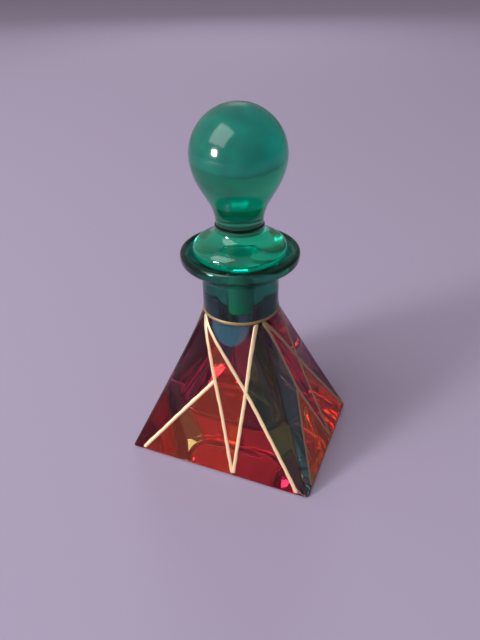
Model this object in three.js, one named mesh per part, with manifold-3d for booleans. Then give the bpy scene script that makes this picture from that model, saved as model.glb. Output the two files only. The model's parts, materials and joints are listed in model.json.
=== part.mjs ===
// Small stoppered glass bottle for scent or oil: a heavy four-sided pyramid with a
// round neck and a saucer lip, stained in colour panels between raised gold strokes,
// and closed by a green glass stopper with a ball head.
// Millimetres, +Z up. The origin is on the axis, at the middle of the flat base.
// The front face looks along -Y and is the wide one.

import * as THREE from 'three';
import { mergeVertices } from 'three/addons/utils/BufferGeometryUtils.js';
import Module from 'manifold-3d';

const wasm = await Module();
wasm.setup();

// Body: a glass pyramid on a rectangular base
const baseWidth = 68;
const baseDepth = 52;
const bodyHeight = 54;
const ridgeRadius = 1.1;
const baseBevel = 0.8;
// How late the flat faces swell into the round neck: 1 is at once, 3 is near the top
const faceRoundingPower = 3;

// Neck, lip and bore
const neckRadius = 12.6;
const neckTop = 66;
const lipRadius = 19.2;
const lipBeadRadius = 2.1;
const lipHeight = 75.7;
const lipFilletRadius = 3.2;
// The fillet under the lip ends at this angle, and the bead runs from its underside over
// the top and down to the seat. Angles count from straight outwards.
const filletEndAngle = 100;
const beadStartAngle = -55;
const beadEndAngle = 190;
const boreRadius = 4.7;
const boreChamfer = 0.8;
const seatDepth = 4.5;
const seatRise = 1.6;
// The seat starts this far inside the foot of the bead
const seatLand = 1.2;

// Hollow inside
const wallThickness = 6.5;
const floorThickness = 11;
const hollowEdgeRadius = 8;
const hollowCornerRadius = 10;
const shoulderHeight = 46;
// Where the hollow is narrow its corners are rounded by this share of its half width
const hollowCornerShare = 0.8;

// Stopper
const ballRadius = 14.6;
const overallHeight = 120;
// The ball runs into the stem by a soft curve that leaves it this far below its middle
const throatStartAngle = -10;
const throatUpperPull = 8;
const throatLowerPull = 7;
const stemRadius = 7.5;
const stemFoot = 84.7;
const stemGroove = 0.35;
const collarRadius = 8.2;
const collarFoot = 80.2;
const flangeRadius = 15.1;
const flangeEdgeHeight = 76.2;
const flangeEdgeRadius = 2.6;
// The rounded edge of the flange, from its underside to where the dome begins
const edgeStartAngle = -75;
const edgeEndAngle = -8;
const seatClearance = 0.5;
const plugClearance = 0.35;
const plugTaper = 0.2;
const plugTip = 54.3;
const plugTipRadius = 0.9;

// Applied coats: stain films and raised gold strokes
const coatGap = 0.05;
const stainThickness = 0.12;
const strokeWidth = 1.35;
const strokeHeight = 0.3;
const bandWidth = 1.2;
// The band's edges are rounded off by this share of its height
const bandCrownShare = 0.35;
const stainMargin = 0.1;
const baseMargin = 0.9;
const ridgeMargin = 0.05;

// Points of the stroke pattern: share of the face's half width at that height, and share of
// the body height. Left and right are as seen from outside. From the top left a steep stroke
// runs over the branch to the foot of the vee, and a long one to the right-hand base corner.
// The right stroke comes down to the same foot, and the low one leaves at the branch.
const widePattern = {
  topLeft: [-0.92, 1],
  topRight: [0.9, 1],
  branch: [-0.175, 0.6],
  vee: [0.19, 0],
  baseLeft: [-0.88, 0],
  baseRight: [0.9, 0],
};
const deepPattern = {
  topLeft: [-0.92, 1],
  topRight: [0.56, 1],
  branch: [-0.23, 0.52],
  vee: [0.2, 0],
  baseLeft: [-0.82, 0],
  baseRight: [0.96, 0],
};

// Facets
const sideSteps = 7;
const cornerSteps = 2;
const bodySteps = 7;
const stopperSegments = 36;
const filletSteps = 3;
const beadSteps = 8;
const hollowWallSteps = 5;
const hollowEdgeSteps = 4;
const plugTipSteps = 3;
const edgeSteps = 5;
const domeSteps = 6;
const throatSteps = 10;
const ballSteps = 15;
const degrees = Math.PI / 180;

// A run of points on an arc, in a plane whose axes are distance from the axis and height
function arc(centreR, centreZ, radius, fromDegrees, toDegrees, steps) {
  return Array.from({ length: steps + 1 }, (_, i) => {
    const angle = (fromDegrees + ((toDegrees - fromDegrees) * i) / steps) * degrees;
    return new THREE.Vector2(centreR + radius * Math.cos(angle), centreZ + radius * Math.sin(angle));
  });
}

// Profile of the neck and lip, from the top of the body up over the lip to the bore
const beadCentreR = lipRadius - lipBeadRadius;
const beadCentreZ = lipHeight - lipBeadRadius;
const seatOuterR = beadCentreR - lipBeadRadius - seatLand;
const seatOuterZ = lipHeight - seatDepth + seatRise;
const seatInnerZ = lipHeight - seatDepth;

function lipProfile() {
  return [
    new THREE.Vector2(neckRadius, bodyHeight),
    ...arc(neckRadius + lipFilletRadius, neckTop, lipFilletRadius, 180, filletEndAngle, filletSteps),
    ...arc(beadCentreR, beadCentreZ, lipBeadRadius, beadStartAngle, beadEndAngle, beadSteps),
    new THREE.Vector2(seatOuterR, seatOuterZ),
    new THREE.Vector2(boreRadius + boreChamfer, seatInnerZ),
    new THREE.Vector2(boreRadius, seatInnerZ - boreChamfer),
  ];
}

// Half sizes of the flat-faced pyramid at a share of the body height. Its corners end
// on the neck's circle.
const baseHalf = new THREE.Vector2(baseWidth / 2, baseDepth / 2);
const topHalf = baseHalf.clone().multiplyScalar(neckRadius / baseHalf.length());
const cornerAngle = Math.atan2(baseHalf.y, baseHalf.x);

function pyramidHalf(share) {
  return baseHalf.clone().lerp(topHalf, share);
}

// Where each point of a loop stands: which corner it rounds, or how far along a side it is.
// Loops run counter-clockwise from the right-hand end of the front face.
const corners = [
  { x: 1, y: -1, angle: -cornerAngle },
  { x: 1, y: 1, angle: cornerAngle },
  { x: -1, y: 1, angle: Math.PI - cornerAngle },
  { x: -1, y: -1, angle: Math.PI + cornerAngle },
];
const cornerSpread = 3 * degrees;

// A rounded rectangle as a closed loop of points in a plane
function rectangleLoop(halfX, halfY, radius) {
  const points = [];
  corners.forEach((corner, index) => {
    const centre = new THREE.Vector2(corner.x * (halfX - radius), corner.y * (halfY - radius));
    const start = (index - 1) * 90 * degrees;
    for (let i = 0; i <= cornerSteps; i += 1) {
      const angle = start + (i / cornerSteps) * 90 * degrees;
      points.push(new THREE.Vector2(Math.cos(angle), Math.sin(angle)).multiplyScalar(radius).add(centre));
    }
    const next = corners[(index + 1) % 4];
    const nextCentre = new THREE.Vector2(next.x * (halfX - radius), next.y * (halfY - radius));
    const end = new THREE.Vector2(Math.cos(index * 90 * degrees), Math.sin(index * 90 * degrees));
    const from = centre.clone().addScaledVector(end, radius);
    const to = nextCentre.clone().addScaledVector(end, radius);
    for (let i = 1; i < sideSteps; i += 1) points.push(from.clone().lerp(to, i / sideSteps));
  });
  return points;
}

// A circle with its points at the same places round the loop as rectangleLoop's
function circleLoop(radius) {
  const points = [];
  corners.forEach((corner, index) => {
    const nextAngle = corners[(index + 1) % 4].angle + (index === 3 ? 2 * Math.PI : 0);
    const first = corner.angle - cornerSpread;
    const last = corner.angle + cornerSpread;
    for (let i = 0; i <= cornerSteps; i += 1) {
      const angle = first + ((last - first) * i) / cornerSteps;
      points.push(new THREE.Vector2(Math.cos(angle), Math.sin(angle)).multiplyScalar(radius));
    }
    for (let i = 1; i < sideSteps; i += 1) {
      const angle = last + ((nextAngle - cornerSpread - last) * i) / sideSteps;
      points.push(new THREE.Vector2(Math.cos(angle), Math.sin(angle)).multiplyScalar(radius));
    }
  });
  return points;
}

function liftLoop(points, z) {
  return points.map((point) => new THREE.Vector3(point.x, point.y, z));
}

// A loop of the body's outside at a share of its height, moved outwards by a distance.
// The flat-faced pyramid swells by a power of the height into the neck's circle.
function bodyLoop(share, outwards) {
  const half = pyramidHalf(share);
  const flat = rectangleLoop(half.x + outwards, half.y + outwards, ridgeRadius + outwards);
  const flatTop = rectangleLoop(topHalf.x + outwards, topHalf.y + outwards, ridgeRadius + outwards);
  const round = circleLoop(neckRadius + outwards);
  const swell = Math.max(share, 0) ** faceRoundingPower;
  const points = flat.map((point, i) => point.addScaledVector(round[i].sub(flatTop[i]), swell));
  return liftLoop(points, share * bodyHeight);
}

// The heights of the body's loops as shares of its height, evenly up from the base bevel
const bevelShare = baseBevel / bodyHeight;
const bodyShares = Array.from({ length: bodySteps + 1 }, (_, i) => {
  return bevelShare + ((1 - bevelShare) * i) / bodySteps;
});

// A closed skin through a stack of loops. Its two ends are closed by a point on the axis,
// or for a ring the last loop runs on into the first.
function skin(loops, ring = false) {
  const count = loops[0].length;
  const positions = [];
  const push = (...points) => points.forEach((point) => positions.push(...point.toArray()));
  const stack = ring ? [...loops, loops[0]] : loops;
  const first = stack[0];
  const last = stack[stack.length - 1];
  const foot = new THREE.Vector3(0, 0, first[0].z);
  const head = new THREE.Vector3(0, 0, last[0].z);
  for (let i = 0; i < count; i += 1) {
    const j = (i + 1) % count;
    if (!ring) push(foot, first[j], first[i], head, last[i], last[j]);
    for (let k = 0; k + 1 < stack.length; k += 1) {
      const [low, high] = [stack[k], stack[k + 1]];
      push(low[i], low[j], high[j], low[i], high[j], high[i]);
    }
  }
  const geometry = new THREE.BufferGeometry();
  geometry.setAttribute('position', new THREE.Float32BufferAttribute(positions, 3));
  return geometry;
}

// A ring round the neck with the given closed section, faceted as the bottle is
function neckRing(section) {
  return skin(section.map((point) => liftLoop(circleLoop(point.x), point.y)), true);
}

// Joining and cutting of closed solids
function toSolid(geometry) {
  const bare = geometry.clone();
  bare.deleteAttribute('normal');
  bare.deleteAttribute('uv');
  const merged = mergeVertices(bare, 1e-4);
  return new wasm.Manifold(new wasm.Mesh({
    numProp: 3,
    vertProperties: Float32Array.from(merged.attributes.position.array),
    triVerts: Uint32Array.from(merged.index.array),
  }));
}

function toGeometry(solid) {
  const mesh = solid.getMesh();
  const geometry = new THREE.BufferGeometry();
  geometry.setAttribute('position', new THREE.BufferAttribute(mesh.vertProperties, 3));
  geometry.setIndex(new THREE.BufferAttribute(mesh.triVerts, 1));
  geometry.computeVertexNormals();
  return geometry;
}

// Bottle: the outside up to the lip, then down the bore and round the hollow
function hollowLoops() {
  const loops = [];
  const insideHalf = (z) => pyramidHalf(z / bodyHeight).addScalar(-wallThickness);
  const addLoop = (z, inset) => {
    const climb = (z - floorThickness) / (shoulderHeight - floorThickness);
    const roundness = climb ** faceRoundingPower;
    const half = insideHalf(z).addScalar(-inset);
    const radius = Math.min(hollowCornerRadius, hollowCornerShare * Math.min(half.x, half.y));
    const flat = rectangleLoop(half.x, half.y, radius);
    const round = circleLoop(boreRadius);
    loops.push(liftLoop(flat.map((point, i) => point.lerp(round[i], roundness)), z));
  };
  const wallFoot = floorThickness + hollowEdgeRadius;
  for (let i = hollowWallSteps; i > 0; i -= 1) {
    addLoop(wallFoot + ((shoulderHeight - wallFoot) * i) / hollowWallSteps, 0);
  }
  for (let i = 0; i <= hollowEdgeSteps; i += 1) {
    const angle = (i / hollowEdgeSteps) * 90 * degrees;
    const z = wallFoot - hollowEdgeRadius * Math.sin(angle);
    addLoop(z, hollowEdgeRadius * (1 - Math.cos(angle)));
  }
  return loops;
}

function bottleGeometry() {
  const foot = liftLoop(bodyLoop(0, -baseBevel), 0);
  const outside = bodyShares.map((share) => bodyLoop(share, 0));
  const round = lipProfile().slice(1).map((point) => liftLoop(circleLoop(point.x), point.y));
  return skin([foot, ...outside, ...round, ...hollowLoops()]);
}

// Stopper: ball, throat, stem, collar and domed flange above the seat, plug below it
function stopperGeometry() {
  const ballCentre = overallHeight - ballRadius;
  const flangeCentreR = flangeRadius - flangeEdgeRadius;
  const plugRadius = boreRadius - plugClearance;
  const dome = Array.from({ length: domeSteps }, (_, i) => {
    const angle = ((i + 1) / domeSteps) * 90 * degrees;
    const reach = (flangeRadius - collarRadius) * Math.sin(angle);
    const drop = (collarFoot - flangeEdgeHeight) * (1 - Math.cos(angle));
    return new THREE.Vector2(collarRadius + reach, collarFoot - drop);
  });
  const seatLine = (r) => {
    const slope = (seatOuterZ - seatInnerZ) / (seatOuterR - boreRadius - boreChamfer);
    return seatInnerZ + (r - boreRadius - boreChamfer) * slope + seatClearance;
  };
  const tipRadius = plugRadius - plugTaper;
  const throatAngle = throatStartAngle * degrees;
  const throatOut = new THREE.Vector2(Math.cos(throatAngle), Math.sin(throatAngle));
  const throatTop = throatOut.clone().multiplyScalar(ballRadius).add(new THREE.Vector2(0, ballCentre));
  const throatDown = new THREE.Vector2(throatOut.y, -throatOut.x);
  const throatFoot = new THREE.Vector2(stemRadius, stemFoot);
  const throat = new THREE.CubicBezierCurve(
    throatTop,
    throatTop.clone().addScaledVector(throatDown, throatUpperPull),
    throatFoot.clone().add(new THREE.Vector2(0, throatLowerPull)),
    throatFoot,
  );
  const outline = [
    new THREE.Vector2(0, plugTip),
    ...arc(tipRadius - plugTipRadius, plugTip + plugTipRadius, plugTipRadius, -90, 0, plugTipSteps),
    new THREE.Vector2(plugRadius, seatInnerZ - boreChamfer),
    new THREE.Vector2(plugRadius, seatLine(plugRadius)),
    ...arc(flangeCentreR, flangeEdgeHeight, flangeEdgeRadius, edgeStartAngle, edgeEndAngle, edgeSteps),
    ...dome.reverse(),
    new THREE.Vector2(collarRadius, collarFoot),
    new THREE.Vector2(stemRadius + stemGroove, stemFoot - 2 * stemGroove),
    new THREE.Vector2(stemRadius - stemGroove, stemFoot - stemGroove),
    ...throat.getPoints(throatSteps).reverse(),
    ...arc(0, ballCentre, ballRadius, throatStartAngle, 90, ballSteps).slice(1, -1),
    new THREE.Vector2(0, overallHeight),
  ];
  const geometry = new THREE.LatheGeometry(outline, stopperSegments);
  return geometry.rotateX(Math.PI / 2);
}

// Coats: everything on the body's outside is cut from a thin shell that follows it, with
// the same facets. What is cut away runs past both ends of the shell.
function bodyShell(inner, outer) {
  const overrun = 0.02;
  const outside = bodyShares.map((share) => bodyLoop(share, outer));
  const inside = [-overrun, ...bodyShares, 1 + overrun].map((share) => bodyLoop(share, inner));
  return toSolid(skin(outside)).subtract(toSolid(skin(inside)));
}

// The point of a face's pattern in millimetres: along the face, and up. The axis is the
// direction of the face's width, x or y.
function facePoint(axis, [across, up]) {
  return new THREE.Vector2(across * pyramidHalf(up)[axis], up * bodyHeight);
}

// A flat outline on a face, pushed through the shell as a prism along the face's outward
// direction, which is -Y before the face is turned into its place
function facePrism(points) {
  const shape = new THREE.Shape(points);
  const depth = baseWidth;
  const geometry = new THREE.ExtrudeGeometry(shape, { depth, bevelEnabled: false, steps: 1 });
  return geometry.rotateX(Math.PI / 2);
}

// Keeps the part of a convex outline that lies to the left of the line from a to b,
// moved inwards by a distance
function clipLeft(points, a, b, inwards) {
  const normal = new THREE.Vector2(a.y - b.y, b.x - a.x).normalize();
  const side = (point) => point.clone().sub(a).dot(normal) - inwards;
  const kept = [];
  points.forEach((point, i) => {
    const next = points[(i + 1) % points.length];
    const here = side(point);
    const there = side(next);
    if (here >= 0) kept.push(point);
    if (here * there < 0) kept.push(point.clone().lerp(next, here / (here - there)));
  });
  return kept;
}

// One face's pattern: its outline, its strokes and the lines that bound its six panels
function facePattern(axis, points) {
  const at = (name) => facePoint(axis, points[name]);
  const lines = {
    upper: [at('topLeft'), at('branch')],
    lower: [at('branch'), at('vee')],
    long: [at('topLeft'), at('baseRight')],
    right: [at('topRight'), at('vee')],
    low: [at('branch'), at('baseLeft')],
  };
  const outline = [[-1, 0], [1, 0], [1, 1], [-1, 1]].map((corner) => facePoint(axis, corner));
  const left = ([a, b]) => [a, b];
  const right = ([a, b]) => [b, a];
  const panels = {
    left: [right(lines.upper), right(lines.low)],
    low: [right(lines.lower), left(lines.low)],
    narrow: [left(lines.upper), left(lines.lower), right(lines.long), right(lines.right)],
    top: [left(lines.long), right(lines.right)],
    base: [right(lines.long), left(lines.right)],
    right: [left(lines.long), left(lines.right)],
  };
  return { lines, outline, panels };
}

const faces = {
  front: { axis: 'x', points: widePattern, turn: 0 },
  right: { axis: 'y', points: deepPattern, turn: 90 },
  back: { axis: 'x', points: widePattern, turn: 180 },
  left: { axis: 'y', points: deepPattern, turn: 270 },
};

// The stain stays clear of the foot and the band, and the films of two faces meet at the
// middle of the rounded ridge between them
const ridgeInset = ridgeMargin + ridgeRadius * (1 - Math.SQRT1_2);

function panelOutline({ outline, panels }, name) {
  const bandFoot = bodyHeight - bandWidth / 2;
  let points = outline;
  points = clipLeft(points, outline[0], outline[1], baseMargin);
  points = clipLeft(points, outline[1], outline[2], ridgeInset);
  points = clipLeft(points, new THREE.Vector2(1, bandFoot), new THREE.Vector2(-1, bandFoot), stainMargin);
  points = clipLeft(points, outline[3], outline[0], ridgeInset);
  for (const [a, b] of panels[name]) {
    points = clipLeft(points, a, b, strokeWidth / 2 + stainMargin);
  }
  return points;
}

// The outline of one stroke, run on a little at both ends and trimmed by foot and band
function strokeOutline([a, b], { outline }) {
  const along = b.clone().sub(a).normalize();
  const across = new THREE.Vector2(-along.y, along.x).multiplyScalar(strokeWidth / 2);
  const from = a.clone().addScaledVector(along, -strokeWidth / 2);
  const to = b.clone().addScaledVector(along, strokeWidth);
  const points = [
    from.clone().sub(across),
    to.clone().sub(across),
    to.clone().add(across),
    from.clone().add(across),
  ];
  return clipLeft(points, outline[0], outline[1], baseMargin);
}

// The strokes of one face, joined where they cross
function strokeSolid(shell, patternOfFace) {
  const bars = Object.values(patternOfFace.lines).map((line) => {
    return toSolid(facePrism(strokeOutline(line, patternOfFace)));
  });
  const network = bars.reduce((joined, bar) => joined.add(bar));
  return network.intersect(shell);
}

// The gold band round the foot of the neck
function bandGeometry() {
  const inner = neckRadius + coatGap;
  const outer = inner + strokeHeight;
  const foot = bodyHeight + stainMargin;
  const top = foot + bandWidth;
  const crown = strokeHeight * bandCrownShare;
  const outline = [
    new THREE.Vector2(inner, foot),
    new THREE.Vector2(outer - crown, foot),
    new THREE.Vector2(outer, foot + crown),
    new THREE.Vector2(outer, top - crown),
    new THREE.Vector2(outer - crown, top),
    new THREE.Vector2(inner, top),
  ];
  return neckRing(outline);
}

// Moves a profile to its right-hand side by a distance, along the mean of its normals
function offsetProfile(points, distance) {
  return points.map((point, i) => {
    const before = points[Math.max(i - 1, 0)];
    const after = points[Math.min(i + 1, points.length - 1)];
    const along = after.clone().sub(before).normalize();
    return point.clone().add(new THREE.Vector2(along.y, -along.x).multiplyScalar(distance));
  });
}

// The green stain on the neck, the lip and the seat
function neckStainGeometry() {
  const profile = lipProfile();
  profile[0].y = bodyHeight + 2 * stainMargin + bandWidth;
  const covered = profile.slice(0, -1);
  const inside = offsetProfile(covered, coatGap);
  const outside = offsetProfile(covered, coatGap + stainThickness);
  return neckRing([...outside, ...inside.reverse()]);
}

// Materials
function glass(color, opacity) {
  return new THREE.MeshStandardMaterial({ color, roughness: 0.05, metalness: 0, transparent: true, opacity });
}

const clearGlass = glass(0xe6efe9, 0.35);
const greenGlass = glass(0x0f6b50, 0.8);
const goldPaint = new THREE.MeshStandardMaterial({ color: 0xc9ac78, roughness: 0.45, metalness: 0.6 });
const stains = {
  crimson: glass(0x8c1024, 0.85),
  red: glass(0xc81e14, 0.85),
  orange: glass(0xe04a18, 0.85),
  plum: glass(0x5a2348, 0.85),
  green: glass(0x123c2c, 0.85),
  slate: glass(0x2c4450, 0.85),
};
const stainOf = {
  front: { left: 'crimson', low: 'red', narrow: 'red', top: 'plum', base: 'crimson', right: 'green' },
  right: { left: 'slate', low: 'orange', narrow: 'crimson', top: 'crimson', base: 'red', right: 'plum' },
  back: { left: 'crimson', low: 'red', narrow: 'red', top: 'plum', base: 'crimson', right: 'green' },
  left: { left: 'slate', low: 'orange', narrow: 'crimson', top: 'crimson', base: 'plum', right: 'green' },
};

// Assembly
const bottle = new THREE.Group();
const stopper = new THREE.Group();
const part = new THREE.Group();
part.add(bottle, stopper);

function addMesh(group, name, geometry, material) {
  const mesh = new THREE.Mesh(geometry, material);
  mesh.name = name;
  group.add(mesh);
  return mesh;
}

addMesh(bottle, 'bottle', bottleGeometry(), clearGlass);
addMesh(bottle, 'neck_stain', neckStainGeometry(), greenGlass);
addMesh(bottle, 'neck_band', bandGeometry(), goldPaint);
addMesh(stopper, 'stopper', stopperGeometry(), greenGlass);

const stainShell = bodyShell(coatGap, coatGap + stainThickness);
const strokeShell = bodyShell(coatGap, coatGap + strokeHeight);
for (const [face, { axis, points, turn }] of Object.entries(faces)) {
  const patternOfFace = facePattern(axis, points);
  const turnedStain = stainShell.rotate([0, 0, -turn]);
  const turnedStroke = strokeShell.rotate([0, 0, -turn]);
  const gold = toGeometry(strokeSolid(turnedStroke, patternOfFace));
  addMesh(bottle, `gold_strokes_${face}`, gold, goldPaint).rotation.z = turn * degrees;
  for (const name of Object.keys(patternOfFace.panels)) {
    const prism = toSolid(facePrism(panelOutline(patternOfFace, name)));
    const film = toGeometry(prism.intersect(turnedStain));
    const material = stains[stainOf[face][name]];
    addMesh(bottle, `stain_${face}_${name}`, film, material).rotation.z = turn * degrees;
  }
}

export default part;
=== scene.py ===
import json
import math

import bpy
import numpy as np
from mathutils import Matrix, Vector

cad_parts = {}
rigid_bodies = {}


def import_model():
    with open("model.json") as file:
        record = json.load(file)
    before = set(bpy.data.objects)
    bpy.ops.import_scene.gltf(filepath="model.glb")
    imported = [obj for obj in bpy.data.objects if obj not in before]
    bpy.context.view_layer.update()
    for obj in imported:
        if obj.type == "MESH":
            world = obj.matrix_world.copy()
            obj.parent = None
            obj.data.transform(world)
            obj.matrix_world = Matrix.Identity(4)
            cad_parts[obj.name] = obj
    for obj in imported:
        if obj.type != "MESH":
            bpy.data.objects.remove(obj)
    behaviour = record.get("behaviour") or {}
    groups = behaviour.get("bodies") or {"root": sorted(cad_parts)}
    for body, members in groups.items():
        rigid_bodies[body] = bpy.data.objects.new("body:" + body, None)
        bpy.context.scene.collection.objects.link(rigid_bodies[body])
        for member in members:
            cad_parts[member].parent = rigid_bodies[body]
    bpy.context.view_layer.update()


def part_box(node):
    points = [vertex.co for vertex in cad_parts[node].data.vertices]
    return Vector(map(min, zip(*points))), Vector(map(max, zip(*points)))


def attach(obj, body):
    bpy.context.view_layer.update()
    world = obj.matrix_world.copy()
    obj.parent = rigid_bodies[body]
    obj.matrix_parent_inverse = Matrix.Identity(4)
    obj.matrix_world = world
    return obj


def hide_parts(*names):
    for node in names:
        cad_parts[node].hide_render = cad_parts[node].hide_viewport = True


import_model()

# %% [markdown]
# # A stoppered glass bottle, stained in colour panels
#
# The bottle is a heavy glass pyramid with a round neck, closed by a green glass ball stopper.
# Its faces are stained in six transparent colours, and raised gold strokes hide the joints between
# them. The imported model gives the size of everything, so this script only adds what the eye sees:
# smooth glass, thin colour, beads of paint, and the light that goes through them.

MM = 0.001

# %% [markdown]
# ## Sizes
#
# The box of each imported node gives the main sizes. The smaller ones are the same named values that
# the construction uses, in millimetres. Only the lip's thin rim and the sweeps of the stopper are
# finer here. Every shape is worked out in millimetres, and turned into metres when its mesh is made.

# %% Sizes of the bottle
bottle_low, bottle_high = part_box("bottle")
stopper_low, stopper_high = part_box("stopper")

ridge_radius = 1.1
base_bevel = 0.8
body_height = 54.0
neck_radius = 12.6
neck_top = 66.0
lip_height = bottle_high[2] / MM
lip_radius = 19.2
lip_bead_radius = 2.1
lip_rim_radius = 1.3
lip_fillet_radius = 3.2
bore_radius = 4.7
bore_chamfer = 0.8
seat_depth = 4.5
seat_rise = 1.6
seat_land = 1.2
wall_thickness = 6.5
floor_thickness = 11.0
hollow_edge_radius = 8.0
hollow_corner_radius = 10.0
shoulder_height = 46.0

# The box is widest at the top of the base bevel. The sharp base below it follows from the
# straight line between that level and the neck, where the corners end on the neck's circle.
bevel_share = base_bevel / body_height
bevel_half = np.array([bottle_high[0], bottle_high[1]]) / MM
bevel_reach = np.hypot(*bevel_half)
base_reach = (bevel_reach - bevel_share * neck_radius) / (1 - bevel_share)
base_half = bevel_half * base_reach / bevel_reach
top_half = base_half * neck_radius / base_reach
print("base half sizes, mm:", base_half.round(2), "half sizes at the neck:", top_half.round(2))

# %% Sizes of the stopper
overall_height = stopper_high[2] / MM
plug_tip = stopper_low[2] / MM
ball_radius = 14.6
ball_centre = overall_height - ball_radius
stem_radius = 7.5
stem_foot = 84.7
stem_groove = 0.35
dome_middle_radius = 8.2
dome_height = 80.2
flange_radius = 15.1
flange_edge_height = 76.2
flange_edge_radius = 2.6
seat_clearance = 0.5
plug_clearance = 0.35
plug_radius = bore_radius - plug_clearance
plug_taper = 0.2
plug_tip_radius = 0.9
print("stopper from", round(plug_tip, 1), "to", round(overall_height, 1), "mm")

# %% [markdown]
# ## Making a mesh from whole arrays
#
# A surface here is a stack of loops: an array of shape (loops, points, 3). It could be built face by
# face, but the faces between two loops follow from the points' numbers alone, and whole arrays are
# quicker to read and to run. The body, a turned piece and a bead of paint are all such stacks, so
# one set of helpers makes every mesh.

# %% Mesh helpers
SHARP_ANGLE = math.radians(35)


def grid_faces(rows, columns, closed_rows=False):
    """Quads between neighbours of a grid: (i, j), (i, j+1), (i+1, j+1), (i+1, j). The last column
    runs on into the first, and so does the last row where the rows are closed."""
    index = np.arange(rows * columns).reshape(rows, columns)
    index = np.hstack([index, index[:, :1]])
    if closed_rows:
        index = np.vstack([index, index[:1]])
    quads = [index[:-1, :-1], index[:-1, 1:], index[1:, 1:], index[1:, :-1]]
    return np.stack(quads, axis=-1).reshape(-1, 4)


def signed_volume(points, quads, triangles):
    """Sum of a . (b x c) / 6 over all triangles a, b, c: positive where the faces point outwards."""
    halves = [quads[:, [0, 1, 2]], quads[:, [0, 2, 3]], np.asarray(triangles, int).reshape(-1, 3)]
    a, b, c = (points[np.vstack(halves)[:, k]] for k in range(3))
    return np.einsum("ij,ij->", a, np.cross(b, c)) / 6


def add_object(name, data):
    """An object in the scene, from its mesh, its lamp or its camera."""
    added = bpy.data.objects.new(name, data)
    bpy.context.scene.collection.objects.link(added)
    return added


def make_piece(name, points, quads, triangles=()):
    """A mesh object from points in millimetres, with its place in its mesh and its faces turned
    outwards."""
    turn = 1 if signed_volume(points, quads, triangles) > 0 else -1
    mesh = bpy.data.meshes.new(name)
    faces = [face[::turn] for group in (quads, triangles) for face in np.asarray(group).tolist()]
    mesh.from_pydata((points * MM).tolist(), [], faces)
    mesh.shade_smooth()
    mesh.set_sharp_from_angle(angle=SHARP_ANGLE)
    return add_object(name, mesh)


def make_stack(name, loops):
    """A closed skin through a stack of loops, with a point on the axis at each end."""
    rows, columns, _ = loops.shape
    ends = np.array([[0, 0, loops[0, 0, 2]], [0, 0, loops[-1, 0, 2]]])
    points = np.vstack([loops.reshape(-1, 3), ends])
    around = np.arange(columns)
    after = np.roll(around, -1)
    first = np.full(columns, rows * columns)
    foot = np.stack([first, after, around], axis=-1)
    last = (rows - 1) * columns
    head = np.stack([first + 1, last + around, last + after], axis=-1)
    return make_piece(name, points, grid_faces(rows, columns), np.vstack([foot, head]))


def make_ring(name, loops):
    """A closed skin through loops whose last one joins on to the first."""
    return make_piece(name, loops.reshape(-1, 3), grid_faces(*loops.shape[:2], closed_rows=True))


def join(x, y, z):
    """Points from their three coordinates, brought to one shape."""
    return np.stack(np.broadcast_arrays(x, y, z), axis=-1)


def arc(centre_r, centre_z, radius, from_degrees, to_degrees, steps):
    """Points on an arc: centre + radius * (cos, sin), for evenly spaced angles."""
    angle = np.radians(np.linspace(from_degrees, to_degrees, steps + 1))
    return np.stack([centre_r + radius * np.cos(angle), centre_z + radius * np.sin(angle)], axis=-1)


print("a tube of 3 loops with 8 points each has", len(grid_faces(3, 8)), "faces")

# %% [markdown]
# ## The shape of a face
#
# The body is a pyramid of four flat faces with rounded ridges, which swells into a round neck. It
# could be a pyramid joined to a cylinder, but pressed glass has no such seam, and light would show
# one. So each face is a surface of two parameters: the height, and p, which goes from -1 to 1 from
# the middle of one ridge to the middle of the next. The inner nine tenths of p are the flat, and the
# rest is half of each ridge's arc. Low down a level cut is a rounded rectangle, and at the neck it is
# a circle. The circle grows in with the third power of the height, so the faces only swell close to
# the neck.

# %% A level cut of the body
FLAT_SHARE = 0.9
NEXT_TO_RIDGE = 0.985
RIDGE_SPREAD = 3.0
ROUNDING_POWER = 3


def face_places(flat_steps, ridge_steps):
    """The values of p along one face, with close neighbours where the flat runs into a ridge. The
    next face's first value, -1, follows after a double step."""
    near = FLAT_SHARE * NEXT_TO_RIDGE
    left = np.linspace(-1, -FLAT_SHARE, ridge_steps, endpoint=False)
    flat = np.linspace(-near, near, flat_steps)
    return np.concatenate([left, [-FLAT_SHARE], flat, [FLAT_SHARE], -left[:1:-1]])


def flat_and_ridge(p):
    """How far p is along the flat, from -1 to 1, and how far into a ridge, from 0 to -1 or 1."""
    ridge = np.sign(p) * np.clip(np.abs(p) - FLAT_SHARE, 0, 1) / (1 - FLAT_SHARE)
    return np.clip(p / FLAT_SHARE, -1, 1), ridge


def rounded_rectangle(p, along, away, radius):
    """Along a face and away from the axis: the flat at `away`, and at its ends an arc of `radius`
    that turns by 45 degrees to the middle of the ridge."""
    flat, ridge = flat_and_ridge(p)
    turn = np.radians(45) * ridge
    return flat * (along - radius) + radius * np.sin(turn), away - radius + radius * np.cos(turn)


def circle(p, half_angle, radius):
    """The same places on a circle: the angle from the face's middle grows evenly with p, and the
    ridge takes the last few degrees."""
    flat, ridge = flat_and_ridge(p)
    angle = np.radians(flat * (half_angle - RIDGE_SPREAD) + ridge * RIDGE_SPREAD)
    return radius * np.sin(angle), radius * np.cos(angle)


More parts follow.
